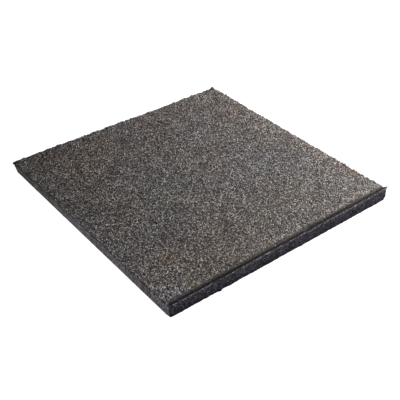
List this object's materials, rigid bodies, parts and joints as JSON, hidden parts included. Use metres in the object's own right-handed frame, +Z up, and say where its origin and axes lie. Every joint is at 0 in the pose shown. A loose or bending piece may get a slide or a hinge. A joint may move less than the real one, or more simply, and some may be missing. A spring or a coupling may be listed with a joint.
{
  "type": "rubber floor tile",
  "caption": "Square floor tile of bonded crumb rubber, cut from a moulded strip: three cut sides, and one moulded side with a low lip, a groove and a rounded shoulder.",
  "frame": {"origin": "middle of the underside's outline, on the floor", "axes": "+Z up through the thickness, out of the walking surface; X and Y along the sides, with the moulded side at -Y and the leaning cut at -X"},
  "size_m": [0.5, 0.5, 0.025],
  "materials": {
    "crumb_rubber": "matt, open-grained black crumb rubber with a few pale and brownish granules"
  },
  "bodies": {
    "root": {"rubber_tile": "crumb_rubber"}
  },
  "joints": []
}
